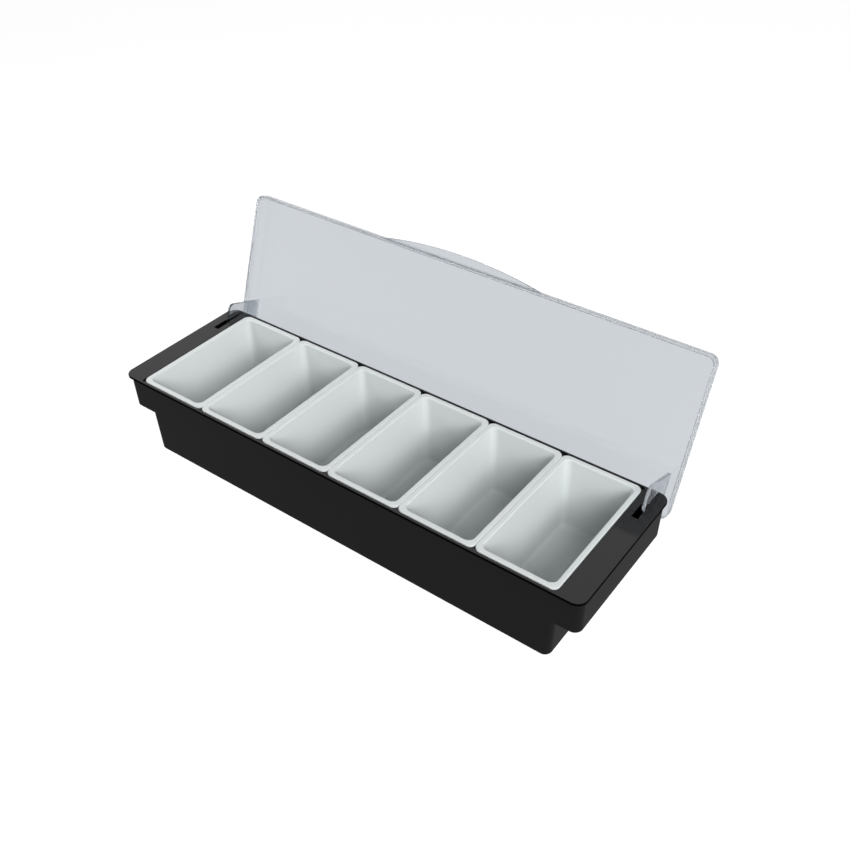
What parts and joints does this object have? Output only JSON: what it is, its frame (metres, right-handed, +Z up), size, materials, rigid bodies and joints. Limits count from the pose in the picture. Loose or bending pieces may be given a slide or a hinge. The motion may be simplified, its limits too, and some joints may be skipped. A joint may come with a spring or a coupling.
{
  "type": "bar garnish tray",
  "caption": "Long black garnish tray with a row of lift-out white inserts and a clear hinged lid that swings back open.",
  "frame": {"origin": "centre of the housing's flat underside", "axes": "+X along the tray to the right, +Y to the hinge side at the rear, +Z up"},
  "size_m": [0.5, 0.2091, 0.1996],
  "materials": {
    "housing": "satin black moulded plastic",
    "lid": "clear moulded plastic",
    "insert": "off-white moulded plastic"
  },
  "bodies": {
    "housing": {"housing": "housing"},
    "lid": {"lid": "lid"},
    "insert_1": {"insert_1": "insert"},
    "insert_2": {"insert_2": "insert"},
    "insert_3": {"insert_3": "insert"},
    "insert_4": {"insert_4": "insert"},
    "insert_5": {"insert_5": "insert"},
    "insert_6": {"insert_6": "insert"}
  },
  "joints": [
    {"name": "lid_hinge", "type": "hinge", "parent": "housing", "child": "lid", "pos_m": [0, 0.06445, 0.0662], "axis": [-1, 0, 0], "range_deg": [-109.3, 0]},
    {"name": "insert_1_lift", "type": "slide", "parent": "housing", "child": "insert_1", "axis": [0, 0, 1], "range_m": [0, 0.08]},
    {"name": "insert_2_lift", "type": "slide", "parent": "housing", "child": "insert_2", "axis": [0, 0, 1], "range_m": [0, 0.08]},
    {"name": "insert_3_lift", "type": "slide", "parent": "housing", "child": "insert_3", "axis": [0, 0, 1], "range_m": [0, 0.08]},
    {"name": "insert_4_lift", "type": "slide", "parent": "housing", "child": "insert_4", "axis": [0, 0, 1], "range_m": [0, 0.08]},
    {"name": "insert_5_lift", "type": "slide", "parent": "housing", "child": "insert_5", "axis": [0, 0, 1], "range_m": [0, 0.08]},
    {"name": "insert_6_lift", "type": "slide", "parent": "housing", "child": "insert_6", "axis": [0, 0, 1], "range_m": [0, 0.08]}
  ]
}
